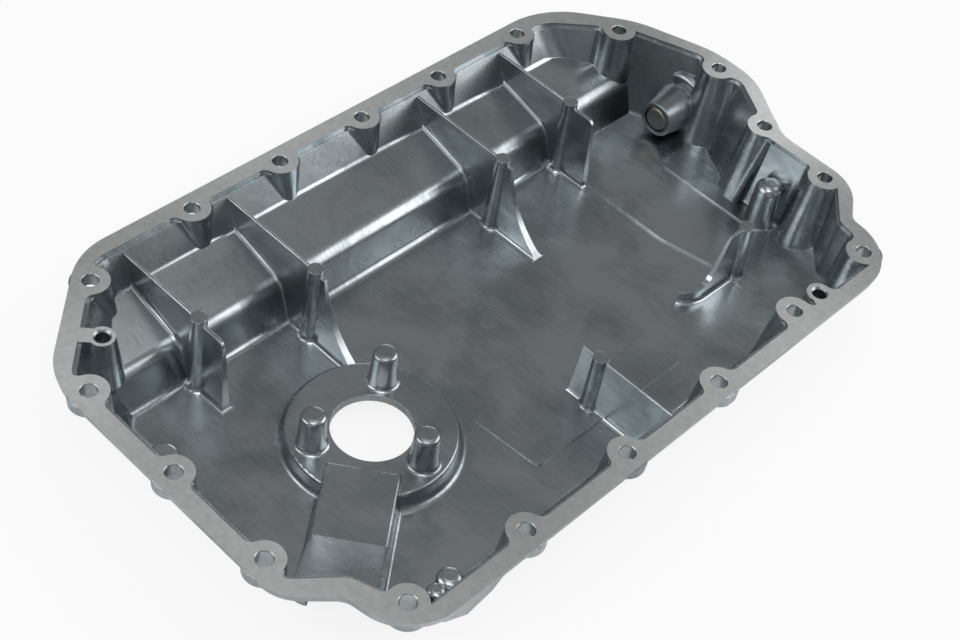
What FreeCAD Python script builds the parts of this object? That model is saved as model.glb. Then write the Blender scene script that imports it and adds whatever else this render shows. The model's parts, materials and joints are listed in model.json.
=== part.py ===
import FreeCAD, Part
import os
import math

os.makedirs("parts", exist_ok=True)
V = FreeCAD.Vector
UP = V(0, 0, 1)

# Engine oil pan: a shallow die-cast aluminium pan with a machined gasket rim, and its drain plug
# with a sealing washer. While it is being built, z = 0 is the gasket face of the rim, x runs along
# the two long sides, y to the rear side, and depths are counted downwards. At the end everything
# is lifted so that the lowest face of the pan lies at z = 0.

# Main sizes of the casting, in mm
FLOOR_DEPTH = 43.0        # gasket face down to the inner floor
FLOOR_THICK = 4.0         # thickness of the floor
WALL = 3.8                # thickness of the walls
FLANGE_THICK = 4.0        # thickness of the rim flange
FLANGE_LEAN = 0.2         # draft of the flange side, mm per mm
LIP_DEPTH = 1.8           # height of the small land at the inner edge of the rim
LIP_STEP = 0.9            # the wall under that land stands this much further in
FLOOR_FILLET = 4.0        # fillet between walls and floor, inside
LEAN_REAR = 0.53          # lean of the rear wall above the shelf, mm per mm
LEAN_SOFT = 0.46          # the left walls lean nearly as much
LEAN_FRONT = 0.41         # the front wall
LEAN_CORNER = 0.23        # the slanting walls of the right end
LEAN_STEEP = 0.14         # the wall beside the drain
LEAN_FLAT = 0.05          # the short walls at the front right corner stand nearly upright
MERGE = 0.3               # how far a foot is sunk into the face that carries it
OUTER_FILLET = 6.0        # rounding of the lower outer edge
LEAST_CORNER_R = 1.5      # no corner of a wall is sharper in plan
LEAST_SIDE = 0.5          # what is left straight between two rounded corners of a wall
PASS = 20.0               # tools that cut or trim reach this far past what they cut
FAR = 400.0               # longer than the whole pan
TINY = 0.01

# Rim bolts: M6 clearance holes in round eyes
BOLT_R = 3.5
BOLT_CHAMFER = 0.3
EYE_R = 8.3
EYE_NECK = 4.0            # fillet in plan between an eye and the rim edge
EYE_BACK = 2.3            # an eye starts this deep inside the wall
EYE_LEAN = 0.13           # the pillar under an eye widens downwards
EYE_SHOWS = 0.3           # a pillar ends where it stands out from the leaning wall by only this
EYE_BOSS_DEPTH = 6.3      # length of the bolt hole
HEAD_ROOM_R = 7.2         # groove in the outer wall that clears the bolt head
BOLTS = (
    (-86.0, 106.7), (-36.0, 106.7), (14.0, 106.7), (64.0, 106.7), (119.2, 106.7), (163.9, 77.6),
    (182.2, 26.8), (165.7, -15.4), (159.4, -57.0), (132.9, -99.0), (77.2, -101.5), (18.5, -106.3),
    (-40.0, -106.3), (-98.5, -106.3), (-155.2, -100.5), (-182.0, -52.8), (-182.0, -0.8),
    (-182.0, 51.2), (-145.7, 98.6))

# Two blind dowel holes that place the pan on the block
DOWEL_R = 3.0
DOWEL_CHAMFER = 0.9
DOWEL_DEPTH = 9.0
DOWEL_EYE_R = 5.4
DOWEL_FRONT_EYE_R = 5.9
DOWEL_REAR = (-160.8, 70.6)
DOWEL_FRONT = (95.1, -102.0)
DOWEL_LEAN = 0.13
WEB_HALF = 3.8            # half the width of the web from the rim to the rear dowel eye
WEB_FOOT_R = 1.0

# Rim outline, outer edge: corner x, corner y, corner radius
OUTER = (
    (-190.2, -67.6, 20.0), (-170.8, -84.4, 10.0), (-166.0, -114.7, 26.0), (146.0, -113.1, 28.0),
    (146.0, -83.0, 6.0), (166.9, -68.6, 24.0), (167.2, -25.2, 20.0), (190.6, 10.2, 36.0),
    (190.6, 37.0, 50.0), (176.4, 77.4, 50.0), (144.9, 114.3, 46.0), (-140.4, 115.0, 34.0),
    (-190.2, 66.1, 34.0))
# Rim outline, inner edge: corner x, corner y, corner radius, lean of the wall that starts there
INNER = (
    (-182.2, -64.4, 5.0, LEAN_SOFT), (-164.0, -78.8, 9.0, LEAN_SOFT),
    (-153.5, -107.1, 7.0, LEAN_FRONT), (134.7, -105.8, 4.6, LEAN_FLAT),
    (140.4, -80.0, 5.0, LEAN_FLAT), (160.5, -63.5, 9.0, LEAN_FLAT),
    (160.5, -24.5, 5.0, LEAN_CORNER), (182.5, 11.5, 8.0, LEAN_STEEP),
    (182.5, 40.2, 10.0, LEAN_CORNER), (168.2, 77.3, 8.0, LEAN_CORNER),
    (136.3, 105.7, 22.0, LEAN_REAR), (-137.4, 107.5, 12.0, LEAN_SOFT),
    (-182.2, 62.4, 8.0, LEAN_SOFT))

# Shelf along the rear wall, as a section across the pan
SHELF_BACK_Y = 112.0      # the shelf runs on to here, inside the wall
SHELF_BACK_DEPTH = 12.0   # depth of the shelf there
SHELF_CREST_Y = 66.9
SHELF_CREST_DEPTH = 24.5
SHELF_FOOT_Y = 59.7
SHELF_CREST_R = 8.5
SHELF_FOOT_R = 4.0

# Ribs from the rear wall, and the posts at their ends: x and y of the post, foot of the fin in
# front of it, and whether that fin ends in a curve
POST_TOP_DEPTH = 1.5
RIB_TOP_DEPTH = 2.5       # the ribs end a little lower than their posts
RIB_HALF = 0.75           # half the thickness of a rib at its top
RIB_CROWN = 0.6           # rounding of the top edges of a rib
RIB_LEAN = 0.03
SHELF_FILLET = 2.0        # fillet between a rib and the shelf
CREASE_R = 3.2            # fillet between the rear wall and the shelf
RIB_FOOT_R = 2.2
POST_R = 3.6
POST_LEAN = 0.022
POST_FOOT_R = 2.6
FIN_DROP = 1.4            # the fin in front of a post starts this much under the rib
FIN_CORNER_R = 3.5        # rounding of the upper corner of an uncurved fin
FIN_FLAT = 6.3            # straight top of a curved fin in front of its post
FIN_MID_Y = 34.5          # point halfway down the curve
FIN_MID_DEPTH = 23.5
FIN_SLANT = 2.6           # an uncurved fin is this much longer at its foot
REAR_POSTS = (
    (-123.6, 56.0, 37.5, False), (-67.4, 47.1, 16.5, True),
    (47.9, 47.1, 16.5, True), (103.6, 55.6, 37.5, False))
LOW_TOP_DEPTH = 12.6      # the two posts in the front half are lower
LOW_RIB_DROP = 0.4        # their ribs end this much under them
FRONT_POST = (0.0, -59.7)
FRONT_FIN_END = -48.0
RIGHT_POST = (115.6, -48.2)
RIGHT_FIN_FLAT = 12.2     # length of the level top of the right fin
RIGHT_FIN_RUN = 9.4       # its edge runs down over this length
RIGHT_FIN_ROUND = 6.0     # rounding where that edge runs out into the tail
RIGHT_TAIL_HIGH = 6.8     # height of the low tail of the right fin
RIGHT_TAIL_FALL = 1.0     # the tail falls by this much along its length
RIGHT_TAIL_X = 89.5       # the tail bends from here on
RIGHT_TAIL_R = 11.5
RIGHT_TAIL_SWING = 58.0   # degrees

# Sensor seat: a round pad with the sensor bore and three blind screw pins
SEAT = (-87.6, -13.5)
SEAT_DEPTH = 35.0         # gasket face down to the top of the pad
SEAT_TOP_R = 36.6
SEAT_FOOT_R = 38.4
SEAT_FILLET = 3.6
SEAT_EDGE_R = 1.4
SENSOR_BORE_R = 18.0
PIN_CIRCLE_R = 27.0
PIN_FIRST = 38.0          # angle of the first pin, in degrees from +x
PIN_COUNT = 3
PIN_TOP_DEPTH = 16.8
PIN_TOP_R = 3.0
PIN_SHOULDER_R = 5.6
PIN_SHOULDER = 3.2        # height of the round shoulder
PIN_CAP_DROP = 0.4        # the flat cap stands this much above the shoulder
PIN_DRAFT = 0.3           # the shoulder narrows by this much
PIN_SHOULDER_ROUND = 1.8
PIN_BODY_ROUND = 2.0
PIN_BASE_R = 6.5
PIN_FOOT_R = 1.9
SCREW_HOLE_R = 2.5        # M6 tapping size, from below
SCREW_HOLE_DEPTH = 15.0
RECESS_R = 2.0            # rounding of the corner of the recess under the pad

# Cable channel: a raised block inside, a groove outside, from the seat out to the left front corner
CHANNEL_ANGLE = 218.0
CHANNEL_TOP_DEPTH = 31.5
CHANNEL_START = 24.2      # distance from the seat's centre
CHANNEL_BEND = 61.6
CHANNEL_END = 106.0
CHANNEL_END_DEPTH = 0.6
CHANNEL_HALF = 15.4
CHANNEL_FOOT_HALF = 17.0
CHANNEL_FOOT_R = 1.6
CHANNEL_EDGE_R = 1.2
CHANNEL_BEND_R = 8.0      # rounding of the groove where it turns up to the rim

# Drain boss in the right end wall, with its axis along x
DRAIN_Y = 40.0
DRAIN_DEPTH = 30.0
DRAIN_TIP_X = 157.3
DRAIN_TIP_R = 9.2
DRAIN_ROOT_X = 173.0
DRAIN_ROOT_R = 12.0
DRAIN_BULGE_R = 19.0      # round swelling of the wall around the boss
DRAIN_BULGE_X = 175.0
DRAIN_BULGE_ROUND = 3.0
DRAIN_TIP_ROUND = 1.0
THREAD_R = 6.9            # M14 plug, modelled plain
THREAD_CLEAR = 0.12       # between the plug and its hole
WASHER_R = 10.0
WASHER_THICK = 1.5
WASHER_CLEAR = 0.25
PLUG_FLANGE_R = 11.0
PLUG_FLANGE_THICK = 2.0
PLUG_HEX = 17.0           # across flats
PLUG_HEX_HIGH = 7.0
PLUG_CHAMFER = 1.5
PLUG_TIP_BACK = 0.3       # the plug ends this far inside the mouth of its hole
PLUG_CROWN = 1.2          # chamfer of the hexagon's corners along the axis
PLUG_CROWN_R = 1.4        # and across it
PLUG_FLANGE_BEVEL = 0.3

# Round swellings of the wall: x, y, depth of the top, radius, rounding of the top
SWELLS = (
    (-176.5, 12.0, 5.0, 6.2, 3.0), (-132.0, -99.8, 5.6, 5.2, 2.8), (-139.6, -100.4, 6.6, 3.8, 2.2),
    (154.0, -34.0, 17.4, 6.6, 4.2))
SWELL_LEAN = 0.03

# Lug under the rim at the left end of the front side
LUG_Y = -113.4
LUG_WIDE = 9.0
LUG = ((-150.0, 1.0), (-117.0, 1.0), (-117.0, 4.0), (-122.5, 9.0), (-135.5, 12.5), (-149.0, 4.5))
LUG_R = 1.5

# Bosses under the rim around the bolt holes
BOSS_R = 8.9
BOSS_TAPER = 0.3
BOSS_OUT = 0.8            # they may stand out past the rim by this much
BOSS_TOP = 1.0

# The floor climbs to the front right corner: start line through x and y, direction, slope
CLIMB_AT = (122.0, -60.0)
CLIMB_ANGLE = -60.0
CLIMB_SLOPE = 0.4
CLIMB_R = 50.0            # rounding where it starts
CLIMB_LONG = 80.0

# Faint steps of the floor
PANEL_HIGH = 1.1
PANEL_LEFT_X = 104.6
PANEL_TURN_Y = -12.0
PANEL_LOW_X = 110.6
PANEL_LOW_Y = -41.0
PANEL_FADE = 22.0
PANEL_TURN_R = 30.0
TONGUE_R = 4.0
TONGUE_HIGH = 0.9
TONGUE_X = 145.2
TONGUE_REAR_Y = 25.0
TONGUE_FRONT_Y = -31.0
PLATE_HIGH = 0.7
PLATE = ((-47.5, -19.0, 0.0), (-43.5, -69.5, 4.0), (52.0, -69.5, 3.0), (52.0, -19.0, 0.0))


def at(x, y, depth):
    """a point given by its depth under the gasket face"""
    return V(x, y, -depth)


def moved(corners, shift_of):
    """corners of a closed outline after each side has moved inwards by its own amount"""
    n = len(corners)
    lines = []
    for i in range(n):
        x0, y0 = corners[i][0], corners[i][1]
        x1, y1 = corners[(i + 1) % n][0], corners[(i + 1) % n][1]
        length = math.hypot(x1 - x0, y1 - y0)
        nx, ny = -(y1 - y0) / length, (x1 - x0) / length
        lines.append((nx, ny, nx * x0 + ny * y0 + shift_of(i)))
    result = []
    for i in range(n):
        a0, b0, c0 = lines[i - 1]
        a1, b1, c1 = lines[i]
        det = a0 * b1 - a1 * b0
        result.append(((c0 * b1 - c1 * b0) / det, (a0 * c1 - a1 * c0) / det))
    return result


def reach(p0, p1, p2, radius):
    """length taken from both sides of the corner p1 by rounding it"""
    d1 = (p1[0] - p0[0], p1[1] - p0[1])
    d2 = (p2[0] - p1[0], p2[1] - p1[1])
    turn = math.atan2(d1[0] * d2[1] - d1[1] * d2[0], d1[0] * d2[0] + d1[1] * d2[1])
    return radius * math.tan(abs(turn) / 2)


def rounded(corners, radii, place):
    """closed wire through plane corners, each rounded by its radius; place puts them in space"""
    n = len(corners)
    flat = [V(c[0], c[1], 0) for c in corners]
    cut = []
    for i in range(n):
        p0, p1, p2 = flat[i - 1], flat[i], flat[(i + 1) % n]
        d1 = (p1 - p0).normalize()
        d2 = (p2 - p1).normalize()
        if radii[i] == 0:
            cut.append((p1, None, p1))
            continue
        half = d1.getAngle(d2) / 2
        taken = radii[i] * math.tan(half)
        side = (d2 - d1).normalize()
        middle = p1 + side * (radii[i] / math.cos(half) - radii[i])
        cut.append((p1 - d1 * taken, middle, p1 + d2 * taken))
    edges = []
    for i in range(n):
        start, middle, end = cut[i]
        after = cut[(i + 1) % n][0]
        if middle is not None:
            arc = Part.Arc(place(start.x, start.y), place(middle.x, middle.y), place(end.x, end.y))
            edges.append(arc.toShape())
        if (after - end).Length > 1e-4:
            edges.append(Part.LineSegment(place(end.x, end.y), place(after.x, after.y)).toShape())
    return Part.Wire(edges)


def outline(corners, radii, depth):
    """closed horizontal wire through the corners at one depth"""
    return rounded(corners, radii, lambda x, y: at(x, y, depth))


def turns_left(corners, i):
    x0, y0 = corners[i - 1][0], corners[i - 1][1]
    x1, y1 = corners[i][0], corners[i][1]
    x2, y2 = corners[(i + 1) % len(corners)][0], corners[(i + 1) % len(corners)][1]
    return (x1 - x0) * (y2 - y1) - (y1 - y0) * (x2 - x1) > 0


def wall_outline(depth, outwards):
    """inner wall line at a depth, or the same line moved outwards by a wall thickness"""
    step = LIP_STEP if depth > 0 else 0.0
    corners = moved(INNER, lambda i: INNER[i][3] * depth + step - outwards)
    radii = []
    for i in range(len(INNER)):
        grow = outwards if turns_left(INNER, i) else -outwards
        radii.append(max(INNER[i][2] + grow, LEAST_CORNER_R))
    # The sides get shorter downwards, so two corners never round more than the side between them
    for i in range(len(INNER)):
        last, after = corners[i - 1], corners[(i + 1) % len(corners)]
        room = math.dist(last, corners[i]) - LEAST_SIDE
        used = reach(corners[i - 2], last, corners[i], radii[i - 1])
        used += reach(last, corners[i], after, radii[i])
        if used > room:
            radii[i - 1] *= room / used
            radii[i] *= room / used
    return outline(corners, radii, depth)


def section(points):
    """wire from straight runs and arcs: a pair of points ends a line, a triple is an arc"""
    edges = []
    for item in points:
        if len(item) == 2:
            edges.append(Part.LineSegment(item[0], item[1]).toShape())
        else:
            edges.append(Part.Arc(item[0], item[1], item[2]).toShape())
    return Part.Wire(edges)


def polygon(points):
    return Part.Wire([Part.LineSegment(points[i], points[(i + 1) % len(points)]).toShape()
                      for i in range(len(points))])


def prism(wire, vector):
    return Part.Face(wire).extrude(vector)


def quarter(centre, radius, a0, a1, place):
    """arc about a centre in a section plane, from angle a0 to a1 in degrees"""
    pts = []
    for a in (a0, (a0 + a1) / 2, a1):
        pts.append(place(centre[0] + radius * math.cos(math.radians(a)),
                         centre[1] + radius * math.sin(math.radians(a))))
    return tuple(pts)


def rib_face(start, towards, top_depth, foot_depth, half, lean, foot_r, crown=0.0):
    """section of an upright drafted wall with a fillet along both sides of its foot"""
    side = UP.cross(towards)

    def place(s, depth):
        return start + side * s - UP * depth
    base = half + lean * (foot_depth - top_depth)
    sunk = foot_depth + MERGE
    right = quarter((base + foot_r, foot_depth - foot_r), foot_r, 180, 90, place)
    left = quarter((-base - foot_r, foot_depth - foot_r), foot_r, 90, 0, place)
    parts = []
    if crown > 0:
        right_crown = quarter((half - crown, top_depth + crown), crown, 270, 360, place)
        left_crown = quarter((crown - half, top_depth + crown), crown, 180, 270, place)
        parts += [(left_crown[2], right_crown[0]), right_crown, (right_crown[2], right[0])]
    else:
        parts += [(place(-half, top_depth), place(half, top_depth)), (place(half, top_depth), right[0])]
    parts += [right, (right[2], place(base + foot_r, sunk))]
    parts.append((place(base + foot_r, sunk), place(-base - foot_r, sunk)))
    parts += [(place(-base - foot_r, sunk), left[0]), left]
    if crown > 0:
        parts += [(left[2], left_crown[0]), left_crown]
    else:
        parts.append((left[2], place(-half, top_depth)))
    return Part.Face(section(parts))


def flared_rib(start, end, top_depth, foot_depth, half, lean, foot_r, crown=0.0):
    """upright drafted wall between two plan points"""
    run = V(end[0] - start[0], end[1] - start[1], 0)
    towards = V(run).normalize()
    start_at = V(start[0], start[1], 0)
    return rib_face(start_at, towards, top_depth, foot_depth, half, lean, foot_r, crown).extrude(run)


def flared_post(x, y, top_depth, foot_depth, radius, lean, foot_r, edge=0.0):
    """round drafted post with a fillet around its foot and, if asked, a rounded top edge"""
    def place(r, depth):
        return V(x + r, y, -depth)
    base = radius + lean * (foot_depth - top_depth)
    flare = quarter((base + foot_r, foot_depth - foot_r), foot_r, 180, 90, place)
    sunk = foot_depth + MERGE
    parts = []
    if edge > 0:
        crown = quarter((radius - edge, top_depth + edge), edge, 270, 360, place)
        parts.append((place(0, top_depth), crown[0]))
        parts.append(crown)
        parts.append((crown[2], flare[0]))
    else:
        parts.append((place(0, top_depth), place(radius, top_depth)))
        parts.append((place(radius, top_depth), flare[0]))
    parts.append(flare)
    parts.append((flare[2], place(base + foot_r, sunk)))
    parts.append((place(base + foot_r, sunk), place(0, sunk)))
    parts.append((place(0, sunk), place(0, top_depth)))
    return Part.Face(section(parts)).revolve(V(x, y, 0), UP, 360)


def nearest_wall(x, y):
    """inward normal of the wall nearest to a plan point, its offset from the point, and its lean"""
    best = None
    n = len(INNER)
    for i in range(n):
        x0, y0 = INNER[i][0], INNER[i][1]
        x1, y1 = INNER[(i + 1) % n][0], INNER[(i + 1) % n][1]
        length = math.hypot(x1 - x0, y1 - y0)
        tx, ty = (x1 - x0) / length, (y1 - y0) / length
        along = min(max((x - x0) * tx + (y - y0) * ty, 0), length)
        gap = math.hypot(x - x0 - tx * along, y - y0 - ty * along)
        if best is None or gap < best[0]:
            offset = -ty * (x0 - x) + tx * (y0 - y)
            best = (gap, V(-ty, tx, 0), offset, INNER[i][3])
    return best[1], best[2], best[3]


def eye_section(x, y, normal, wall_at, radius, depth):
    """plan section of an eye: a round nose with necks that run into the wall line"""
    side = UP.cross(normal)
    centre = at(x, y, depth)

    def place(s, n):
        return centre + side * s + normal * n
    reach = math.sqrt((radius + EYE_NECK) ** 2 - (wall_at + EYE_NECK) ** 2)
    turn = math.degrees(math.atan2(wall_at + EYE_NECK, reach))
    back = wall_at - EYE_BACK
    right_neck = quarter((reach, wall_at + EYE_NECK), EYE_NECK, 270, 180 + turn, place)
    nose = quarter((0, 0), radius, turn, 180 - turn, place)
    left_neck = quarter((-reach, wall_at + EYE_NECK), EYE_NECK, -turn, -90, place)
    return section((
        (place(-reach, back), place(reach, back)),
        (place(reach, back), right_neck[0]),
        right_neck, nose, left_neck,
        (left_neck[2], place(-reach, back))))


def eye(x, y, radius, widen):
    """eye at the rim with the pillar below it, down to the floor or until the wall swallows it"""
    normal, offset, lean = nearest_wall(x, y)
    deepest = FLOOR_DEPTH
    nose_left = radius - offset - LIP_STEP - widen * LIP_DEPTH
    if lean > widen:
        deepest = min(deepest, (nose_left - EYE_SHOWS) / (lean - widen))
    head = prism(eye_section(x, y, normal, offset, radius, 0), UP * -LIP_DEPTH)
    top = eye_section(x, y, normal, offset + LIP_STEP + lean * LIP_DEPTH, radius, LIP_DEPTH)
    foot = eye_section(x, y, normal, offset + LIP_STEP + lean * deepest,
                       radius + widen * (deepest - LIP_DEPTH), deepest)
    return [head, Part.makeLoft([top, foot], True, True)]


# Outer envelope: the flange and the walls below it
flange_top = outline([c[:2] for c in OUTER], [c[2] for c in OUTER], 0)
flange_low = outline(moved(OUTER, lambda i: FLANGE_LEAN * FLANGE_THICK),
                     [c[2] for c in OUTER], FLANGE_THICK)
flange = Part.makeLoft([flange_top, flange_low], True, True)
bottom_depth = FLOOR_DEPTH + FLOOR_THICK
walls = Part.makeLoft([wall_outline(LIP_DEPTH, WALL), wall_outline(bottom_depth, WALL)], True, True)
low_edges = [e for e in walls.Edges
             if abs(e.BoundBox.ZMin + bottom_depth) < TINY and e.BoundBox.ZLength < TINY]
walls = walls.makeFillet(OUTER_FILLET, low_edges)
envelope = flange.fuse(walls)

# Cavity: the mouth of the rim, and the tub below it with its filleted floor
mouth = prism(wall_outline(0, 0), V(0, 0, -LIP_DEPTH))
tub = Part.makeLoft([wall_outline(LIP_DEPTH, 0), wall_outline(FLOOR_DEPTH, 0)], True, True)
tub_edges = [e for e in tub.Edges
             if abs(e.BoundBox.ZMin + FLOOR_DEPTH) < TINY and e.BoundBox.ZLength < TINY]
tub = tub.makeFillet(FLOOR_FILLET, tub_edges)
cavity = mouth.fuse(tub)
body = envelope.cut(cavity)


def footed(corners, radii, foot):
    """corners with the floor run cut off where the fillet of the foot corner ends"""
    tail = reach(corners[foot - 1], corners[foot], corners[foot + 1], radii[foot])
    towards = 1 if corners[foot + 1][0] > corners[foot][0] else -1
    end = corners[foot][0] + towards * tail
    level = corners[foot][1]
    done = list(corners[:foot + 1]) + [(end, level), (end, level + MERGE)]
    done += list(corners[foot + 2:])
    rads = list(radii[:foot + 1]) + [0, 0] + list(radii[foot + 2:])
    return done, rads


def turned(corners, radii, x, y):
    """solid of revolution about an upright axis from a section of radius and depth"""
    wire = rounded(corners, radii, lambda r, depth: at(x + r, y, depth))
    return Part.Face(wire).revolve(V(x, y, 0), UP, 360)


def crossing(corners, radii, x0, x1):
    """solid with one section of y and depth over a stretch of x"""
    wire = rounded(corners, radii, lambda y, depth: at(x0, y, depth))
    return prism(wire, V(x1 - x0, 0, 0))


sunk = FLOOR_DEPTH + MERGE

# Shelf along the rear wall: a gentle slope, a round crest and a steep face with a fillet at its foot
shelf_corners, shelf_radii = footed(
    [(SHELF_BACK_Y, SHELF_BACK_DEPTH), (SHELF_CREST_Y, SHELF_CREST_DEPTH),
     (SHELF_FOOT_Y, FLOOR_DEPTH), (SHELF_FOOT_Y - PASS, FLOOR_DEPTH), (SHELF_BACK_Y, sunk)],
    [0, SHELF_CREST_R, SHELF_FOOT_R, 0, 0], 2)
shelf = crossing(shelf_corners, shelf_radii, -FAR / 2, FAR / 2)

inside = [shelf]

def shelf_fillet(x):
    """fillets on both sides of a rib where it stands on the slope, the crest and the steep face"""
    line = (at(x, SHELF_BACK_Y, SHELF_BACK_DEPTH), at(x, SHELF_CREST_Y, SHELF_CREST_DEPTH),
            at(x, SHELF_FOOT_Y, FLOOR_DEPTH), at(x, SHELF_FOOT_Y - PASS, FLOOR_DEPTH))
    across = V(1, 0, 0)
    here = line[0]
    ahead = (line[1] - line[0]).normalize()
    up = ahead.cross(across)
    half = RIB_HALF + RIB_LEAN * (SHELF_BACK_DEPTH - RIB_TOP_DEPTH)

    def place(s, n):
        return here + across * s + up * n
    wide = half + SHELF_FILLET
    right = quarter((wide, SHELF_FILLET), SHELF_FILLET, 180, 270, place)
    left = quarter((-wide, SHELF_FILLET), SHELF_FILLET, 270, 360, place)
    face = Part.Face(section((
        (place(-half, SHELF_FILLET), place(half, SHELF_FILLET)), right,
        (place(wide, 0), place(wide, -MERGE)), (place(wide, -MERGE), place(-wide, -MERGE)),
        (place(-wide, -MERGE), place(-wide, 0)), left)))
    pieces = []
    for k, radius in ((1, SHELF_CREST_R), (2, SHELF_FOOT_R)):
        after = (line[k + 1] - line[k]).normalize()
        turn = ahead.getAngle(after)
        taken = radius * math.tan(turn / 2)
        stop = line[k] - ahead * taken
        bends = 1 if ahead.cross(after).x > 0 else -1
        centre = stop - up * (radius * bends)
        pieces.append(face.extrude(stop - here))
        face = face.translated(stop - here)
        pieces.append(face.revolve(centre, across, math.degrees(turn) * bends))
        face = face.rotated(centre, across, math.degrees(turn) * bends)
        here = line[k] + after * taken
        ahead = after
        up = ahead.cross(across)
    return pieces


def crease_fillet(start, end, normal_a, normal_b, radius):
    """fillet along the line where two flat faces meet; the normals point out of them"""
    run = end - start
    middle = (normal_a + normal_b).normalize()
    half = normal_a.getAngle(normal_b) / 2
    ends = []
    for normal, other in ((normal_a, normal_b), (normal_b, normal_a)):
        away = run.cross(normal).normalize()
        if away.dot(other) < 0:
            away = away * -1
        ends.append(start + away * (radius * math.tan(half)))
    nearest = start + middle * (radius / math.cos(half) - radius)
    deep = start - middle * MERGE
    wire = section(((ends[0], nearest, ends[1]), (ends[1], deep), (deep, ends[0])))
    return prism(wire, run)


# Fillet between the rear wall and the slope of the shelf
REAR_SIDE = 10
right_end, left_end = INNER[REAR_SIDE], INNER[REAR_SIDE + 1]
slope = (SHELF_CREST_DEPTH - SHELF_BACK_DEPTH) / (SHELF_BACK_Y - SHELF_CREST_Y)
level = math.hypot(left_end[0] - right_end[0], left_end[1] - right_end[1])
inward = V(-(left_end[1] - right_end[1]) / level, (left_end[0] - right_end[0]) / level, 0)


def crease_point(x):
    """point at x on the line where the rear wall meets the slope of the shelf"""
    known = LIP_STEP + LEAN_REAR * (SHELF_BACK_DEPTH + SHELF_BACK_Y * slope)
    known += inward.y * right_end[1] - inward.x * (x - right_end[0])
    y = known / (inward.y + LEAN_REAR * slope)
    return at(x, y, SHELF_BACK_DEPTH + (SHELF_BACK_Y - y) * slope)


inside.append(crease_fillet(crease_point(left_end[0]), crease_point(right_end[0]),
                            V(inward.x, inward.y, LEAN_REAR).normalize(),
                            V(0, -slope, 1).normalize(), CREASE_R))

# Posts with their ribs and fins
fin_top = RIB_TOP_DEPTH + FIN_DROP
for x, y, fin_end, curved in REAR_POSTS:
    inside.append(flared_post(x, y, POST_TOP_DEPTH, FLOOR_DEPTH, POST_R, POST_LEAN, POST_FOOT_R))
    inside.append(flared_rib((x, SHELF_BACK_Y), (x, y), RIB_TOP_DEPTH, FLOOR_DEPTH,
                             RIB_HALF, RIB_LEAN, RIB_FOOT_R, RIB_CROWN))
    inside += shelf_fillet(x)
    blade = flared_rib((x, y), (x, fin_end - PASS), RIB_TOP_DEPTH, FLOOR_DEPTH,
                       RIB_HALF, RIB_LEAN, RIB_FOOT_R)
    if curved:
        left_x = x - PASS
        top_end = at(left_x, y - FIN_FLAT, fin_top)
        low_end = at(left_x, fin_end, FLOOR_DEPTH - MERGE)
        wire = section((
            (at(left_x, y, fin_top), top_end),
            (top_end, at(left_x, FIN_MID_Y, FIN_MID_DEPTH), low_end),
            (low_end, at(left_x, fin_end, sunk)),
            (at(left_x, fin_end, sunk), at(left_x, y, sunk)),
            (at(left_x, y, sunk), at(left_x, y, fin_top))))
        cutter = prism(wire, V(2 * PASS, 0, 0))
    else:
        side, rads = footed(
            [(y, fin_top), (fin_end + FIN_SLANT, fin_top), (fin_end, FLOOR_DEPTH),
             (fin_end - PASS, FLOOR_DEPTH), (y, sunk)], [0, FIN_CORNER_R, RIB_FOOT_R, 0, 0], 2)
        cutter = crossing(side, rads, x - PASS, x + PASS)
    inside.append(blade.common(cutter))

# Front post: a rib runs from it to the front wall, and a short fin stands on its other side
x, y = FRONT_POST
low_rib_depth = LOW_TOP_DEPTH + LOW_RIB_DROP
inside.append(flared_post(x, y, LOW_TOP_DEPTH, FLOOR_DEPTH, POST_R, POST_LEAN, POST_FOOT_R))
inside.append(flared_rib((x, y), (x, -SHELF_BACK_Y), low_rib_depth, FLOOR_DEPTH,
                         RIB_HALF, RIB_LEAN, RIB_FOOT_R, RIB_CROWN))
blade = flared_rib((x, FRONT_FIN_END + PASS), (x, y), low_rib_depth, FLOOR_DEPTH,
                   RIB_HALF, RIB_LEAN, RIB_FOOT_R)
side, rads = footed(
    [(y, 0), (FRONT_FIN_END - FIN_SLANT, 0), (FRONT_FIN_END, FLOOR_DEPTH),
     (FRONT_FIN_END + PASS, FLOOR_DEPTH), (y, sunk)], [0, 0, RIB_FOOT_R, 0, 0], 2)
inside.append(blade.common(crossing(side, rads, x - PASS, x + PASS)))

# Right fin: a level top, an edge that runs down, and a low tail that bends away
x, y = RIGHT_POST
tail_depth = FLOOR_DEPTH - RIGHT_TAIL_HIGH
inside.append(flared_post(x, y, LOW_TOP_DEPTH, FLOOR_DEPTH, POST_R, POST_LEAN, POST_FOOT_R))
bend_at = V(RIGHT_TAIL_X, y, 0)
straight = flared_rib((x, y), (RIGHT_TAIL_X, y), LOW_TOP_DEPTH, FLOOR_DEPTH,
                      RIB_HALF, RIB_LEAN, RIB_FOOT_R)
face = rib_face(bend_at, V(-1, 0, 0), LOW_TOP_DEPTH, FLOOR_DEPTH, RIB_HALF, RIB_LEAN, RIB_FOOT_R)
bent = face.revolve(bend_at + V(0, RIGHT_TAIL_R, 0), UP, -RIGHT_TAIL_SWING)
level_end = x - RIGHT_FIN_FLAT
tail_end = RIGHT_TAIL_X - PASS
side = [(x, 0), (x, sunk), (tail_end, sunk), (tail_end, tail_depth + RIGHT_TAIL_FALL),
        (level_end - RIGHT_FIN_RUN, tail_depth), (level_end, LOW_TOP_DEPTH), (level_end, 0)]
wire = rounded(side, [0, 0, 0, 0, RIGHT_FIN_ROUND, 0, 0], lambda a, depth: at(a, y - PASS, depth))
inside.append(straight.fuse(bent).common(prism(wire, V(0, 3 * PASS, 0))))

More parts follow.
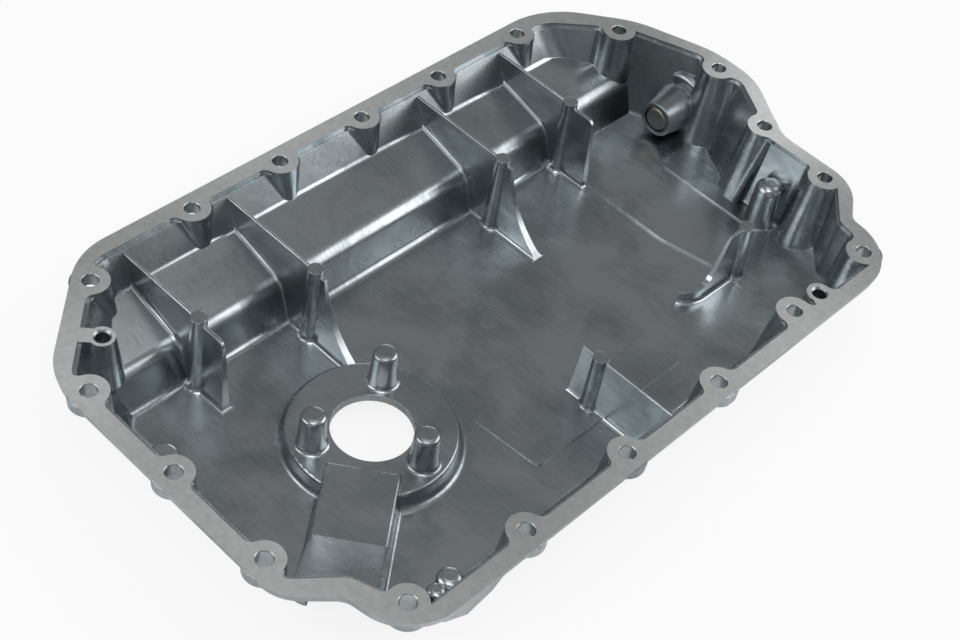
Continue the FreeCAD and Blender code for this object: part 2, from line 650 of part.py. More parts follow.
# Sensor pad with its three screw pins
x, y = SEAT
corners, rads = footed(
    [(0, SEAT_DEPTH), (SEAT_TOP_R, SEAT_DEPTH), (SEAT_FOOT_R, FLOOR_DEPTH),
     (SEAT_FOOT_R + PASS, FLOOR_DEPTH), (0, sunk)], [0, SEAT_EDGE_R, SEAT_FILLET, 0, 0], 2)
inside.append(turned(corners, rads, x, y))
pins = []
for k in range(PIN_COUNT):
    angle = math.radians(PIN_FIRST + k * 360.0 / PIN_COUNT)
    pins.append((x + PIN_CIRCLE_R * math.cos(angle), y + PIN_CIRCLE_R * math.sin(angle)))
for px, py in pins:
    corners, rads = footed(
        [(0, PIN_TOP_DEPTH), (PIN_TOP_R, PIN_TOP_DEPTH),
         (PIN_SHOULDER_R - PIN_DRAFT, PIN_TOP_DEPTH + PIN_CAP_DROP),
         (PIN_SHOULDER_R, PIN_TOP_DEPTH + PIN_SHOULDER), (PIN_BASE_R, SEAT_DEPTH),
         (PIN_BASE_R + PASS, SEAT_DEPTH), (0, SEAT_DEPTH + MERGE)],
        [0, 0, PIN_SHOULDER_ROUND, PIN_BODY_ROUND, PIN_FOOT_R, 0, 0], 4)
    inside.append(turned(corners, rads, px, py))

# Block over the cable channel, and the slope that takes it up to the rim
ux, uy = math.cos(math.radians(CHANNEL_ANGLE)), math.sin(math.radians(CHANNEL_ANGLE))
sx, sy = -uy, ux


def along(u, s, depth):
    """point by its distance from the seat's centre, its side offset and its depth"""
    return at(SEAT[0] + ux * u + sx * s, SEAT[1] + uy * u + sy * s, depth)


lean = (CHANNEL_FOOT_HALF - CHANNEL_HALF) / (FLOOR_DEPTH - CHANNEL_TOP_DEPTH)
start, end = along(CHANNEL_START, 0, 0), along(CHANNEL_END, 0, 0)
block = flared_rib((start.x, start.y), (end.x, end.y), CHANNEL_TOP_DEPTH, FLOOR_DEPTH,
                   CHANNEL_HALF, lean, CHANNEL_FOOT_R)
top = [e for e in block.Edges if e.BoundBox.ZLength < TINY
       and abs(e.BoundBox.ZMin + CHANNEL_TOP_DEPTH) < TINY
       and (e.CenterOfMass - along(CHANNEL_END, 0, CHANNEL_TOP_DEPTH)).Length > WALL]
block = block.makeFillet(CHANNEL_EDGE_R, top)
inside.append(block)
wedge = [(CHANNEL_BEND, CHANNEL_TOP_DEPTH), (CHANNEL_END, CHANNEL_END_DEPTH), (CHANNEL_END, sunk),
         (CHANNEL_BEND, sunk)]
wire = rounded(wedge, [0, 0, 0, 0], lambda u, depth: along(u, -CHANNEL_HALF, depth))
slant = prism(wire, V(sx, sy, 0) * (2 * CHANNEL_HALF))
inside.append(slant)



# Drain boss and the round swelling of the end wall behind it
def about_drain(corners, radii):
    """solid of revolution about the drain axis from a section of x and radius"""
    wire = rounded(corners, radii, lambda a, r: at(a, DRAIN_Y, DRAIN_DEPTH - r))
    return Part.Face(wire).revolve(at(0, DRAIN_Y, DRAIN_DEPTH), V(1, 0, 0), 360)


drain_back = INNER[7][0]
inside.append(about_drain(
    [(DRAIN_TIP_X, 0), (DRAIN_TIP_X, DRAIN_TIP_R), (DRAIN_ROOT_X, DRAIN_ROOT_R),
     (drain_back, DRAIN_ROOT_R), (drain_back, 0)], [0, DRAIN_TIP_ROUND, 0, 0, 0]))
inside.append(about_drain(
    [(DRAIN_BULGE_X, 0), (DRAIN_BULGE_X, DRAIN_BULGE_R), (drain_back, DRAIN_BULGE_R),
     (drain_back, 0)], [0, DRAIN_BULGE_ROUND, 0, 0]))

# Round swellings of the wall
for x, y, top_depth, radius, crown in SWELLS:
    inside.append(flared_post(x, y, top_depth, FLOOR_DEPTH, radius, SWELL_LEAN, POST_FOOT_R, crown))

# Eyes of the rim bolts and of the dowels
for x, y in BOLTS:
    inside += eye(x, y, EYE_R, EYE_LEAN)
inside += eye(DOWEL_FRONT[0], DOWEL_FRONT[1], DOWEL_FRONT_EYE_R, DOWEL_LEAN)
x, y = DOWEL_REAR
inside.append(turned([(0, 0), (DOWEL_EYE_R, 0),
                      (DOWEL_EYE_R + DOWEL_LEAN * SHELF_CREST_DEPTH, SHELF_CREST_DEPTH),
                      (0, SHELF_CREST_DEPTH)], [0, 0, 0, 0], x, y))
web_normal, web_gap, web_lean = nearest_wall(x, y)
web_end = V(x, y, 0) - web_normal * (abs(web_gap) + WALL)
inside.append(flared_rib((x, y), (web_end.x, web_end.y), 0, SHELF_CREST_DEPTH,
                         WEB_HALF, RIB_LEAN, WEB_FOOT_R))

# Climb of the floor to the front right corner
climb_x = math.cos(math.radians(CLIMB_ANGLE))
climb_y = math.sin(math.radians(CLIMB_ANGLE))
corners, rads = footed(
    [(CLIMB_LONG, FLOOR_DEPTH - CLIMB_SLOPE * CLIMB_LONG), (0, FLOOR_DEPTH), (-PASS, FLOOR_DEPTH),
     (CLIMB_LONG, sunk)], [0, CLIMB_R, 0, 0], 1)
climb_from = V(CLIMB_AT[0], CLIMB_AT[1], 0) + V(climb_y, -climb_x, 0) * (FAR / 4)
wire = rounded(corners, rads, lambda s, depth: climb_from + V(climb_x * s, climb_y * s, -depth))
inside.append(prism(wire, V(-climb_y, climb_x, 0) * (FAR / 2)))

# Faint steps of the floor
panel = [(PANEL_LEFT_X, SHELF_CREST_Y), (PANEL_LEFT_X, PANEL_TURN_Y), (PANEL_LOW_X, PANEL_LOW_Y),
         (drain_back, PANEL_LOW_Y), (drain_back, SHELF_CREST_Y)]
panel_wire = rounded(panel, [0, PANEL_TURN_R, 0, 0, 0], lambda a, b: at(a, b, FLOOR_DEPTH + MERGE))
inside.append(prism(panel_wire, UP * (PANEL_HIGH + MERGE)))
fade = [(PANEL_LOW_Y + TINY, FLOOR_DEPTH - PANEL_HIGH), (PANEL_LOW_Y + TINY, sunk),
        (PANEL_LOW_Y - PANEL_FADE, sunk), (PANEL_LOW_Y - PANEL_FADE, FLOOR_DEPTH)]
inside.append(crossing(fade, [0, 0, 0, 0], PANEL_LOW_X, drain_back))
tongue = [(TONGUE_X, TONGUE_REAR_Y), (TONGUE_X, TONGUE_FRONT_Y), (drain_back, TONGUE_FRONT_Y),
          (drain_back, TONGUE_REAR_Y)]
tongue_wire = rounded(tongue, [TONGUE_R, 0, 0, 0], lambda a, b: at(a, b, FLOOR_DEPTH))
inside.append(prism(tongue_wire, UP * (PANEL_HIGH + TONGUE_HIGH)))
plate_wire = rounded(PLATE, [c[2] for c in PLATE], lambda a, b: at(a, b, FLOOR_DEPTH + MERGE))
rear_y, front_y = PLATE[0][1], PLATE[1][1]
wedge = crossing([(rear_y, FLOOR_DEPTH), (front_y, FLOOR_DEPTH - PLATE_HIGH), (front_y, sunk),
                  (rear_y, sunk)], [0, 0, 0, 0], -FAR / 2, FAR / 2)
inside.append(prism(plate_wire, UP * (PLATE_HIGH + MERGE)).common(wedge))

added = inside[0].multiFuse(inside[1:]).common(envelope)
body = body.fuse(added)

# Bosses under the flange, and the lug at the left front
outside = []
for x, y in BOLTS:
    outside.append(Part.makeCone(BOSS_R, BOSS_R - BOSS_TAPER, EYE_BOSS_DEPTH - BOSS_TOP,
                                 at(x, y, BOSS_TOP), -UP))
lug_wire = rounded(LUG, [0, 0, 0, LUG_R, LUG_R, 0], lambda a, depth: at(a, LUG_Y, depth))
outside.append(prism(lug_wire, V(0, LUG_WIDE, 0)))
boss_wire = outline(moved(OUTER, lambda i: -BOSS_OUT), [c[2] for c in OUTER], BOSS_TOP)
inner_space = prism(boss_wire, UP * -FAR)
bosses = outside[0].multiFuse(outside[1:]).common(inner_space).cut(cavity)
body = body.fuse(bosses)

# Hollows of the underside: under the shelf, under the sensor pad, along the cable, at the drain
hollows = []
face = V(SHELF_CREST_Y - SHELF_FOOT_Y, -(SHELF_CREST_DEPTH - FLOOR_DEPTH), 0).normalize()
shift = WALL / face.y
under = bottom_depth + PASS
foot_y = SHELF_FOOT_Y + shift - face.x / face.y * FLOOR_THICK
crest_y = foot_y + face.x / face.y * (bottom_depth - SHELF_CREST_DEPTH - WALL)
recess, rads = footed(
    [(FAR, SHELF_BACK_DEPTH + WALL), (SHELF_BACK_Y, SHELF_BACK_DEPTH + WALL),
     (crest_y, SHELF_CREST_DEPTH + WALL), (foot_y, bottom_depth), (foot_y - PASS, bottom_depth),
     (FAR, under)], [0, 0, SHELF_CREST_R - WALL, OUTER_FILLET, 0, 0], 3)
recess[5] = (recess[5][0], under)
hollows.append(crossing(recess, rads, -FAR / 2, FAR / 2))
x, y = SEAT
hollows.append(turned([(0, SEAT_DEPTH + WALL), (SEAT_TOP_R - WALL, SEAT_DEPTH + WALL),
                       (SEAT_FOOT_R - WALL, under), (0, under)], [0, RECESS_R, 0, 0], x, y))
rise = (CHANNEL_TOP_DEPTH - CHANNEL_END_DEPTH) / (CHANNEL_END - CHANNEL_BEND)
thick = WALL * math.hypot(1, rise)
roof = CHANNEL_TOP_DEPTH + WALL
bend = CHANNEL_BEND + (thick - WALL) / rise
exit_depth = FLANGE_THICK + MERGE
exit_u = bend + (roof - exit_depth) / rise
groove = [(0, roof), (bend, roof), (exit_u, exit_depth), (exit_u + 2 * PASS, exit_depth),
          (exit_u + 2 * PASS, under), (0, under)]
groove_half = CHANNEL_HALF - WALL
wire = rounded(groove, [0, CHANNEL_BEND_R, 0, 0, 0, 0], lambda u, depth: along(u, -groove_half, depth))
hollows.append(prism(wire, V(sx, sy, 0) * (2 * groove_half)))
for px, py in pins:
    hollows.append(Part.makeCylinder(SCREW_HOLE_R, SCREW_HOLE_DEPTH + MERGE,
                                     at(px, py, SEAT_DEPTH + WALL + MERGE), UP))
hollows.append(Part.makeCylinder(SENSOR_BORE_R, SEAT_DEPTH, at(x, y, under), UP))
spot_r = DRAIN_BULGE_R - WALL
seat_x = DRAIN_BULGE_X + WALL
drain_ahead = V(1, 0, 0)
hollows.append(Part.makeCylinder(spot_r, PASS, at(seat_x, DRAIN_Y, DRAIN_DEPTH), drain_ahead))
hollows.append(Part.makeBox(PASS, 2 * spot_r, under - DRAIN_DEPTH,
                            at(seat_x, DRAIN_Y - spot_r, under)))
hollows.append(Part.makeCylinder(THREAD_R + THREAD_CLEAR, 3 * PASS,
                                 at(DRAIN_TIP_X - WALL, DRAIN_Y, DRAIN_DEPTH), drain_ahead))

# Room for the bolt heads, the bolt holes and the dowel holes
for x, y in BOLTS:
    hollows.append(Part.makeCylinder(HEAD_ROOM_R, under - EYE_BOSS_DEPTH, at(x, y, under), UP))
    hollows.append(Part.makeCylinder(BOLT_R, 2 * under, at(x, y, under), UP))
    hollows.append(Part.makeCone(BOLT_R, BOLT_R + 2 * BOLT_CHAMFER, 2 * BOLT_CHAMFER,
                                 at(x, y, BOLT_CHAMFER), UP))
for x, y in (DOWEL_REAR, DOWEL_FRONT):
    hollows.append(Part.makeCylinder(DOWEL_R, 2 * DOWEL_DEPTH, at(x, y, DOWEL_DEPTH), UP))
    hollows.append(Part.makeCone(DOWEL_R, DOWEL_R + 2 * DOWEL_CHAMFER, 2 * DOWEL_CHAMFER,
                                 at(x, y, DOWEL_CHAMFER), UP))
body = body.cut(hollows[0].multiFuse(hollows[1:]))
pan = max(body.Solids, key=lambda one: one.Volume)

# Drain plug: a hexagon head with a flange, a shank as long as the boss, and a washer under the flange
tip_x = DRAIN_TIP_X + PLUG_TIP_BACK
flange_x = seat_x + WASHER_THICK
head_x = flange_x + PLUG_FLANGE_THICK
head_end = head_x + PLUG_HEX_HIGH
plug = about_drain(
    [(tip_x, 0), (tip_x, THREAD_R - PLUG_CHAMFER), (tip_x + PLUG_CHAMFER, THREAD_R),
     (flange_x, THREAD_R), (flange_x, PLUG_FLANGE_R),
     (head_x, PLUG_FLANGE_R - PLUG_FLANGE_BEVEL), (head_x, 0)], [0] * 7)
hex_r = PLUG_HEX / math.sqrt(3)
hexagon = polygon([at(head_x - MERGE,
                      DRAIN_Y + hex_r * math.cos(math.radians(60 * k)),
                      DRAIN_DEPTH + hex_r * math.sin(math.radians(60 * k))) for k in range(6)])
head = prism(hexagon, V(PLUG_HEX_HIGH + MERGE, 0, 0))
crown = about_drain([(flange_x, 0), (flange_x, hex_r + MERGE), (head_end - PLUG_CROWN, hex_r + MERGE),
                     (head_end, hex_r - PLUG_CROWN_R), (head_end, 0)], [0] * 5)
plug = plug.fuse(head.common(crown)).removeSplitter()
washer = about_drain(
    [(seat_x, THREAD_R + WASHER_CLEAR), (seat_x, WASHER_R), (flange_x, WASHER_R),
     (flange_x, THREAD_R + WASHER_CLEAR)], [0] * 4)

lift = V(0, 0, bottom_depth)
for name, shape in (("pan_casting", pan), ("drain_plug", plug), ("drain_washer", washer)):
    shape.translate(lift)
    shape.exportStep("parts/" + name + ".step")
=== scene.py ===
import json
import math

import bmesh
import bpy
from bpy.props import FloatProperty, FloatVectorProperty, PointerProperty
from bpy.types import Operator, Panel, PropertyGroup
from mathutils import Matrix, Vector

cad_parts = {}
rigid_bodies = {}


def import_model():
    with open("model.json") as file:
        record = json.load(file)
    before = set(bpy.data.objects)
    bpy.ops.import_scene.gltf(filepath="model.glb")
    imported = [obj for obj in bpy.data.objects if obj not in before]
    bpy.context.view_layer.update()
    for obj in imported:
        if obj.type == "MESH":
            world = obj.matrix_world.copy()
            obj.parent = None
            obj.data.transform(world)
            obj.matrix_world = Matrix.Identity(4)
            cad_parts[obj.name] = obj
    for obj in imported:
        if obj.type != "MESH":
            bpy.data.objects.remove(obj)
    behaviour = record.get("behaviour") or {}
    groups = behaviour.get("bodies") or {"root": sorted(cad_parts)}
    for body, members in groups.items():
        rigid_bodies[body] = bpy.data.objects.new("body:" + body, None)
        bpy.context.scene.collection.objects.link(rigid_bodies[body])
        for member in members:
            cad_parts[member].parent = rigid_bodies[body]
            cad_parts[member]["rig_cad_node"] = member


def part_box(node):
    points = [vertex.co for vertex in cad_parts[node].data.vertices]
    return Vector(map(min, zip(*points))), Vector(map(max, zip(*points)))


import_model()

bl_info = {
    "name": "Oil pan dressing",
    "version": (1, 0, 0),
    "blender": (4, 5, 0),
    "location": "View3D > Sidebar > Oil pan",
    "description": "Finishes for a die-cast oil pan, its drain plug and washer, and a studio",
    "category": "Object",
}

MM = 0.001
RIM_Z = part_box("pan_casting")[1][2]
REST_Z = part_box("pan_casting")[0][2]
RIM_SKIN = 0.12 * MM           # how far below the gasket plane a face still counts as milled
RIM_FADE = 0.06 * MM           # over what height the milled look fades in
DIE_TURN = math.radians(-19)   # how the die's polishing marks lie, from straight across the pan
FLOW_TURN = math.radians(-24)  # how the metal's flow lies
STAGE_HALF = 6.0               # half the side of the studio floor
STAGE_GAP = 0.02 * MM          # air between the pan and the studio floor
RIM_STRETCH = 1.7              # how much longer than wide the cutter's way round the rim is
MILLED_CLOUD = 3.0 * MM        # size of the lighter and darker spots of the milled face
PLATING_CLOUD = 4.0 * MM       # the same for the plug's zinc
SCUFF_SIZE = 1.5 * MM          # size of the washer's scuffs
TURNING_STEP = 0.5 * MM        # distance between the plug's turning rings
WAVE_UNIT = math.pi / 10       # a wave texture of this scale repeats once a metre
BOX_AWAY = 1.35                # distance of every softbox from the middle of the pan
# Which way the camera's own right, up and back point
CAMERA_RIGHT = (0.69581, -0.70714, 0.12570)
CAMERA_UP = (0.45761, 0.57138, 0.68126)
CAMERA_BACK = (-0.55357, -0.41650, 0.72117)
SENSOR_WIDE = 36               # the camera's sensor, in millimetres


def linear(code):
    """an sRGB hex colour as linear red, green and blue"""
    channels = []
    for start in (1, 3, 5):
        value = int(code[start:start + 2], 16) / 255
        channels.append(value / 12.92 if value <= 0.04045 else ((value + 0.055) / 1.055) ** 2.4)
    return tuple(channels)


def add(tree, kind, settings=None, links=None):
    """one node with its settings and the links into it; a setting is a property or an input"""
    node = tree.nodes.new(kind)
    for key, value in (settings or {}).items():
        if isinstance(key, str) and hasattr(node, key):
            setattr(node, key, value)
        else:
            node.inputs[key].default_value = value
    for key, source in (links or {}).items():
        tree.links.new(source, node.inputs[key])
    return node


def new_material(name):
    """an empty material with its node tree"""
    material = bpy.data.materials.new(name)
    material.use_nodes = True
    material.node_tree.nodes.clear()
    return material, material.node_tree


def surface(tree, shader):
    """make a shader the material's surface"""
    add(tree, "ShaderNodeOutputMaterial", {}, {"Surface": shader})


def noise(tree, where, size, detail, roughness, **more):
    """a noise pattern whose features are about so wide"""
    settings = {**more, "Scale": 1 / size, "Detail": detail, "Roughness": roughness}
    return add(tree, "ShaderNodeTexNoise", settings, {"Vector": where}).outputs["Fac"]


def turned(tree, where, angle, scale):
    """a place turned about the upright axis and stretched, for patterns with a direction"""
    settings = {"Rotation": (0, 0, angle), "Scale": scale}
    return add(tree, "ShaderNodeMapping", settings, {"Vector": where}).outputs["Vector"]


def spread(tree, value, low, high, to_low, to_high):
    """what lies between low and high, stretched to another range"""
    settings = {"From Min": low, "From Max": high, "To Min": to_low, "To Max": to_high}
    return add(tree, "ShaderNodeMapRange", settings, {"Value": value}).outputs["Result"]


def shaded(tree, colour, shade):
    """a colour times a shade"""
    settings = {"data_type": "RGBA", "blend_type": "MULTIPLY", 0: 1.0, 6: (*colour, 1)}
    return add(tree, "ShaderNodeMix", settings, {7: shade}).outputs[2]


def soft_edges(tree, radius):
    """the normal of a surface whose sharp edges look rounded"""
    return add(tree, "ShaderNodeBevel", {"samples": 4, "Radius": radius}).outputs["Normal"]


def bump(tree, height, strength, deep, normal=None):
    """the normal of a surface that a pattern makes uneven"""
    links = {"Height": height}
    if normal is not None:
        links["Normal"] = normal
    settings = {"Strength": strength, "Distance": deep}
    return add(tree, "ShaderNodeBump", settings, links).outputs["Normal"]


def metal(tree, colour, rough, normal, links=None):
    """a bare metal surface"""
    links = {"Base Color": colour, "Roughness": rough, "Normal": normal, **(links or {})}
    surface(tree, add(tree, "ShaderNodeBsdfPrincipled", {"Metallic": 1.0}, links).outputs["BSDF"])


def dress(node_name, material):
    """give a node of the model its finish"""
    piece = next(o for o in bpy.context.scene.objects if o.get("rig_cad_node") == node_name)
    if len(piece.data.materials) == 0:
        piece.data.materials.append(material)
    for slot in piece.material_slots:
        slot.material = material


class CastingSettings(PropertyGroup):
    skin_dark: FloatVectorProperty(
        name="Skin, dark", description="Darker tone of the cast skin", subtype="COLOR",
        size=3, min=0, max=1, default=linear("#868d90"))
    skin_light: FloatVectorProperty(
        name="Skin, light", description="Lighter tone of the cast skin", subtype="COLOR",
        size=3, min=0, max=1, default=linear("#b1b8bb"))
    milled: FloatVectorProperty(
        name="Milled rim", description="Tone of the milled gasket face", subtype="COLOR",
        size=3, min=0, max=1, default=linear("#d6d9d8"))
    skin_rough: FloatProperty(
        name="Skin roughness", description="How far the cast skin blurs what it mirrors",
        default=0.27, min=0.05, max=0.9)
    rim_rough: FloatProperty(
        name="Rim roughness", description="How far the milled face blurs what it mirrors",
        default=0.43, min=0.05, max=0.9)
    brushing: FloatProperty(
        name="Milling blur", description="How much more the milled face blurs light along the rim",
        default=0.8, min=0, max=1)
    streak: FloatProperty(
        name="Die mark", description="Width of the fine marks that the polished die left",
        default=1.1 * MM, min=0.0002, max=0.02, unit="LENGTH")
    wisp: FloatProperty(
        name="Flow wisp", description="Width of the dark wisps where cool metal ran together",
        default=7 * MM, min=0.0005, max=0.05, unit="LENGTH")
    mottle: FloatProperty(
        name="Mottling", description="Size of the lighter and darker patches of the skin",
        default=38 * MM, min=0.002, max=0.2, unit="LENGTH")
    grain: FloatProperty(
        name="Grain", description="Size of the fine roughness of the skin",
        default=0.7 * MM, min=0.0001, max=0.01, unit="LENGTH")
    edge: FloatProperty(
        name="Edge softness", description="Radius that every sharp cast edge seems to have",
        default=0.5 * MM, min=0, max=0.003, unit="LENGTH")
    cutter: FloatProperty(
        name="Milling step", description="Distance between the fine milling marks of the rim",
        default=0.8 * MM, min=0.0001, max=0.01, unit="LENGTH")


class PlugSettings(PropertyGroup):
    zinc: FloatVectorProperty(
        name="Zinc", description="Tone of the plug's zinc plating", subtype="COLOR",
        size=3, min=0, max=1, default=linear("#a2a09a"))
    washer: FloatVectorProperty(
        name="Washer", description="Tone of the soft sealing washer", subtype="COLOR",
        size=3, min=0, max=1, default=linear("#c9cacb"))
    plug_edge: FloatProperty(
        name="Edge softness", description="Radius that every sharp edge of the plug seems to have",
        default=0.3 * MM, min=0, max=0.003, unit="LENGTH")


class StageSettings(PropertyGroup):
    camera_at: FloatVectorProperty(
        name="Camera position", description="Where the camera stands", subtype="TRANSLATION",
        size=3, unit="LENGTH", default=(-0.44066, -0.32410, 0.57556))
    lens: FloatProperty(
        name="Lens", description="Focal length of the camera on a 36 mm wide sensor",
        default=65.77, min=10, max=300)
    paper: FloatVectorProperty(
        name="Floor", description="Colour of the studio floor", subtype="COLOR",
        size=3, min=0, max=1, default=linear("#f6f6f6"))
    whiteness: FloatProperty(
        name="Whiteness", description="Share of plain white that the camera sees in the floor",
        default=0.86, min=0, max=1)
    right_box: FloatProperty(
        name="Right softbox", description="Power of the softbox beyond the front right corner",
        default=9.6, min=0, max=200, unit="POWER")
    left_box: FloatProperty(
        name="Left softbox", description="Power of the softbox beyond the left rear corner",
        default=7.2, min=0, max=200, unit="POWER")
    camera_box: FloatProperty(
        name="Camera softbox", description="Power of the softbox above the camera",
        default=3.6, min=0, max=200, unit="POWER")
    far_box: FloatProperty(
        name="Far softbox", description="Power of the low softbox behind the far corner",
        default=1.7, min=0, max=200, unit="POWER")
    ceiling: FloatProperty(
        name="Ceiling light", description="Power of the weak light straight above",
        default=1.1, min=0, max=200, unit="POWER")
    room: FloatProperty(
        name="Room", description="Brightness of the pale room around the floor",
        default=0.28, min=0, max=2)


def cast_aluminium(own):
    """Die-cast aluminium as it leaves the die, and milled on the rim: a satin grey skin with
    fine marks, dark wisps and patches, soft bright edges, and a lighter rim that blurs the
    light along itself."""
    material, tree = new_material("die_cast_aluminium")
    where = add(tree, "ShaderNodeTexCoord").outputs["Object"]
    patches = noise(tree, where, own.mottle, 5.0, 0.55, Distortion=0.6)
    # The die was polished along the short side of the pan, a little aslant
    along = turned(tree, where, DIE_TURN, (1.0, 0.07, 0.3))
    marks = noise(tree, along, own.streak, 4.0, 0.55, Distortion=0.3)
    # Cool metal folded into thin dark wisps that swirl a little
    drift = turned(tree, where, FLOW_TURN, (1.0, 0.3, 0.6))
    wisps = noise(tree, drift, own.wisp, 4.0, 0.5, noise_type="RIDGED_MULTIFRACTAL", Distortion=1.1)
    grain = noise(tree, where, own.grain, 3.0, 0.6)
    fine_part = add(tree, "ShaderNodeMath", {"operation": "ADD"}, {
        0: spread(tree, marks, 0.3, 0.7, -0.22, 0.22),
        1: spread(tree, wisps, 0.75, 1.5, 0.1, -1.0)})
    tone = add(tree, "ShaderNodeMath", {"operation": "ADD", "use_clamp": True}, {
        0: spread(tree, patches, 0.38, 0.62, 0.1, 1.0), 1: fine_part.outputs[0]}).outputs[0]
    skin = add(tree, "ShaderNodeMix", {
        "data_type": "RGBA", 6: (*own.skin_dark, 1), 7: (*own.skin_light, 1)}, {0: tone})
    # The darker the skin, the more it blurs
    skin_rough = spread(tree, tone, 0.0, 1.0, own.skin_rough * 1.25, own.skin_rough * 0.85)
    # The cutter went round the rim, so its marks lie across and blur the light along the rim
    flat = add(tree, "ShaderNodeVectorMath", {
        "operation": "MULTIPLY", 1: (1.0, RIM_STRETCH, 0.0)}, {0: where})
    around = add(tree, "ShaderNodeVectorMath", {"operation": "CROSS_PRODUCT", 0: (0, 0, 1)},
                 {1: flat.outputs["Vector"]})
    cuts = noise(tree, where, own.cutter, 2.0, 0.6)
    cloud = noise(tree, where, MILLED_CLOUD, 4.0, 0.65)
    milled = shaded(tree, own.milled, spread(tree, cloud, 0.3, 0.7, 0.88, 1.06))
    # The rim is what lies in the top plane
    height = add(tree, "ShaderNodeSeparateXYZ", {}, {"Vector": where})
    milled_from = RIM_Z - RIM_SKIN
    is_rim = spread(tree, height.outputs["Z"], milled_from, milled_from + RIM_FADE, 0.0, 1.0)
    colour = add(tree, "ShaderNodeMix", {"data_type": "RGBA"},
                 {0: is_rim, 6: skin.outputs[2], 7: milled})
    rough = add(tree, "ShaderNodeMix", {"data_type": "FLOAT", 3: own.rim_rough},
                {0: is_rim, 2: skin_rough})
    cast = bump(tree, grain, 0.2, 0.1 * MM, soft_edges(tree, own.edge))
    cast = bump(tree, marks, 0.1, 0.12 * MM, cast)
    cast = bump(tree, patches, 0.2, 1.0 * MM, cast)
    normal = add(tree, "ShaderNodeMix", {"data_type": "VECTOR"},
                 {0: is_rim, 4: cast, 5: bump(tree, cuts, 0.06, 0.05 * MM)})
    brushed = add(tree, "ShaderNodeMath", {"operation": "MULTIPLY", 1: own.brushing}, {0: is_rim})
    metal(tree, colour.outputs[2], rough.outputs[0], normal.outputs[1],
          {"Anisotropic": brushed.outputs[0], "Tangent": around.outputs["Vector"]})
    return material


def plated_steel(own):
    """Zinc-plated steel, turned and pressed: a slightly warm grey with fine turning rings."""
    material, tree = new_material("zinc_plated_steel")
    where = add(tree, "ShaderNodeTexCoord").outputs["Object"]
    cloud = noise(tree, where, PLATING_CLOUD, 4.0, 0.6)
    middle = [-(low + high) / 2 for low, high in zip(*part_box("drain_plug"))]
    centred = add(tree, "ShaderNodeMapping", {"Location": middle}, {"Vector": where})
    rings = add(tree, "ShaderNodeTexWave", {
        "wave_type": "RINGS", "rings_direction": "X", "Scale": WAVE_UNIT / TURNING_STEP,
        "Distortion": 0.4}, {"Vector": centred.outputs["Vector"]})
    metal(tree, shaded(tree, own.zinc, spread(tree, cloud, 0.3, 0.7, 0.82, 1.05)),
          spread(tree, cloud, 0.3, 0.7, 0.36, 0.5),
          bump(tree, rings.outputs["Fac"], 0.12, 0.05 * MM, soft_edges(tree, own.plug_edge)))
    return material


def soft_washer(own):
    """Annealed aluminium, punched: pale and matt, with faint scuffs from tightening."""
    material, tree = new_material("annealed_aluminium")
    where = add(tree, "ShaderNodeTexCoord").outputs["Object"]
    scuffs = noise(tree, where, SCUFF_SIZE, 5.0, 0.7, Distortion=0.6)
    metal(tree, shaded(tree, own.washer, spread(tree, scuffs, 0.3, 0.7, 0.8, 1.04)),
          spread(tree, scuffs, 0.3, 0.7, 0.36, 0.52), bump(tree, scuffs, 0.1, 0.05 * MM))
    return material


class OILPAN_OT_casting(Operator):
    """Give the casting its cast skin and its milled rim"""
    bl_idname = "oilpan.casting"
    bl_label = "Dress the casting"

    def execute(self, context):
        dress("pan_casting", cast_aluminium(context.scene.oilpan_casting))
        return {"FINISHED"}


class OILPAN_OT_drain(Operator):
    """Give the drain plug and its washer their finishes"""
    bl_idname = "oilpan.drain"
    bl_label = "Dress the drain plug"

    def execute(self, context):
        own = context.scene.oilpan_plug
        dress("drain_plug", plated_steel(own))
        dress("drain_washer", soft_washer(own))
        return {"FINISHED"}


def floor_finish(own):
    """Matt studio paper: nearly white to the camera, with a soft shadow left on it."""
    material, tree = new_material("studio_paper")
    path = add(tree, "ShaderNodeLightPath")
    seen = add(tree, "ShaderNodeMath", {"operation": "MAXIMUM"},
               {0: path.outputs["Is Camera Ray"], 1: path.outputs["Is Transmission Ray"]})
    share = add(tree, "ShaderNodeMath", {"operation": "MULTIPLY", 1: own.whiteness},
                {0: seen.outputs[0]})
    matt = add(tree, "ShaderNodeBsdfDiffuse", {"Color": (*own.paper, 1)})
    white = add(tree, "ShaderNodeEmission", {"Color": (1, 1, 1, 1), "Strength": 1.0})
    both = add(tree, "ShaderNodeMixShader", {},
               {0: share.outputs[0], 1: matt.outputs[0], 2: white.outputs[0]})
    surface(tree, both.outputs[0])
    return material


def softbox(name, turn, rise, size, power):
    """a soft light that faces the pan's middle; turn and rise are degrees round from its right
    end and up from the floor"""
    data = bpy.data.lights.new(name, "AREA")
    data.shape = "RECTANGLE"
    data.size, data.size_y = size
    data.energy = power
    light = bpy.data.objects.new(name, data)
    round_by, up_by = math.radians(turn), math.radians(rise)
    away = Vector((math.cos(round_by) * math.cos(up_by), math.sin(round_by) * math.cos(up_by),
                   math.sin(up_by)))
    light.location = BOX_AWAY * away
    light.rotation_euler = (-away).to_track_quat("-Z", "Y").to_euler()
    bpy.context.scene.collection.objects.link(light)


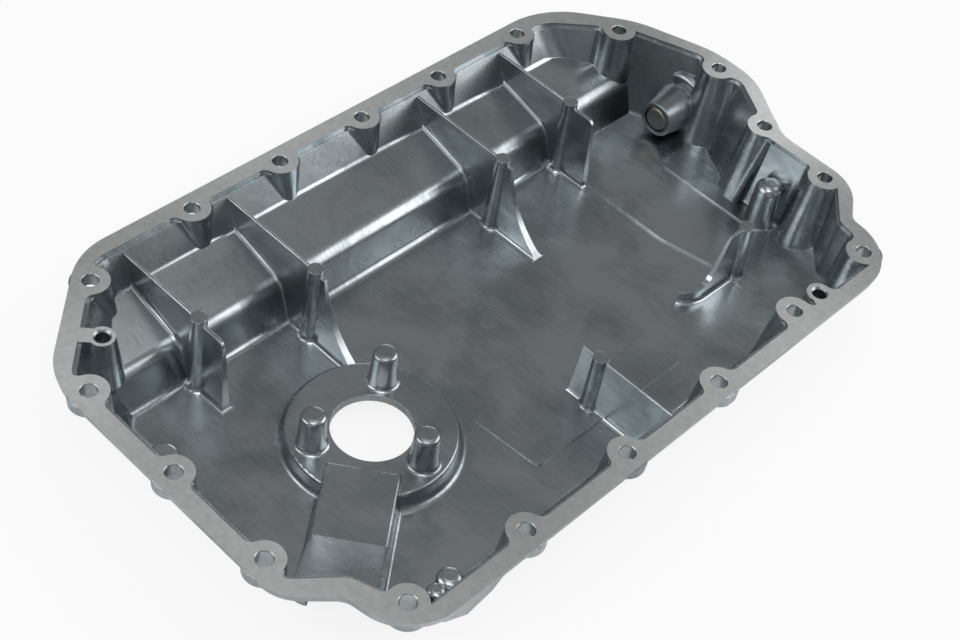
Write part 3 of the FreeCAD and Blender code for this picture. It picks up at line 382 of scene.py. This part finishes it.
class OILPAN_OT_stage(Operator):
    """Set the floor, the lights, the room and the camera"""
    bl_idname = "oilpan.stage"
    bl_label = "Set the stage"

    def execute(self, context):
        own = context.scene.oilpan_stage
        scene = context.scene
        mesh = bpy.data.meshes.new("floor")
        shape = bmesh.new()
        bmesh.ops.create_grid(shape, x_segments=1, y_segments=1, size=STAGE_HALF)
        shape.to_mesh(mesh)
        shape.free()
        mesh.transform(Matrix.Translation((0, 0, REST_Z - STAGE_GAP)))
        floor = bpy.data.objects.new("floor", mesh)
        mesh.materials.append(floor_finish(own))
        scene.collection.objects.link(floor)

        softbox("right_box", -36, 29, (1.15, 1.1), own.right_box)
        softbox("left_box", 155, 25, (0.95, 1.0), own.left_box)
        softbox("camera_box", 217, 65, (0.55, 0.55), own.camera_box)
        softbox("far_box", 37, 12, (0.6, 0.3), own.far_box)
        softbox("ceiling", 37, 85, (0.55, 0.55), own.ceiling)

        world = bpy.data.worlds.new("room")
        scene.world = world
        world.use_nodes = True
        pale = world.node_tree.nodes["Background"]
        pale.inputs["Color"].default_value = (1, 1, 1, 1)
        pale.inputs["Strength"].default_value = own.room

        data = bpy.data.cameras.new("camera")
        data.sensor_width = SENSOR_WIDE
        data.lens = own.lens
        data.clip_start = 0.01
        camera = bpy.data.objects.new("camera", data)
        turn = Matrix((CAMERA_RIGHT, CAMERA_UP, CAMERA_BACK)).transposed().to_4x4()
        camera.matrix_world = Matrix.Translation(own.camera_at) @ turn
        scene.collection.objects.link(camera)
        scene.camera = camera
        scene.view_settings.view_transform = "Standard"
        return {"FINISHED"}


class OILPAN_PT_panel(Panel):
    """List the steps that dress the oil pan"""
    bl_label = "Oil pan"
    bl_idname = "OILPAN_PT_panel"
    bl_space_type = "VIEW_3D"
    bl_region_type = "UI"
    bl_category = "Oil pan"

    def draw(self, context):
        for kind in STEPS:
            self.layout.operator(kind.bl_idname)
        for name in SETTINGS:
            box = self.layout.box()
            group = getattr(context.scene, name)
            for key in group.__annotations__:
                box.prop(group, key)


STEPS = (OILPAN_OT_casting, OILPAN_OT_drain, OILPAN_OT_stage)
SETTINGS = {
    "oilpan_casting": CastingSettings, "oilpan_plug": PlugSettings, "oilpan_stage": StageSettings}
CLASSES = (*SETTINGS.values(), *STEPS, OILPAN_PT_panel)


def register():
    for kind in CLASSES:
        bpy.utils.register_class(kind)
    for name, kind in SETTINGS.items():
        setattr(bpy.types.Scene, name, PointerProperty(type=kind))


def unregister():
    for name in SETTINGS:
        delattr(bpy.types.Scene, name)
    for kind in reversed(CLASSES):
        bpy.utils.unregister_class(kind)


def main():
    register()
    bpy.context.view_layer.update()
    bpy.ops.oilpan.casting()
    bpy.ops.oilpan.drain()
    bpy.ops.oilpan.stage()


if __name__ == "__main__":
    main()
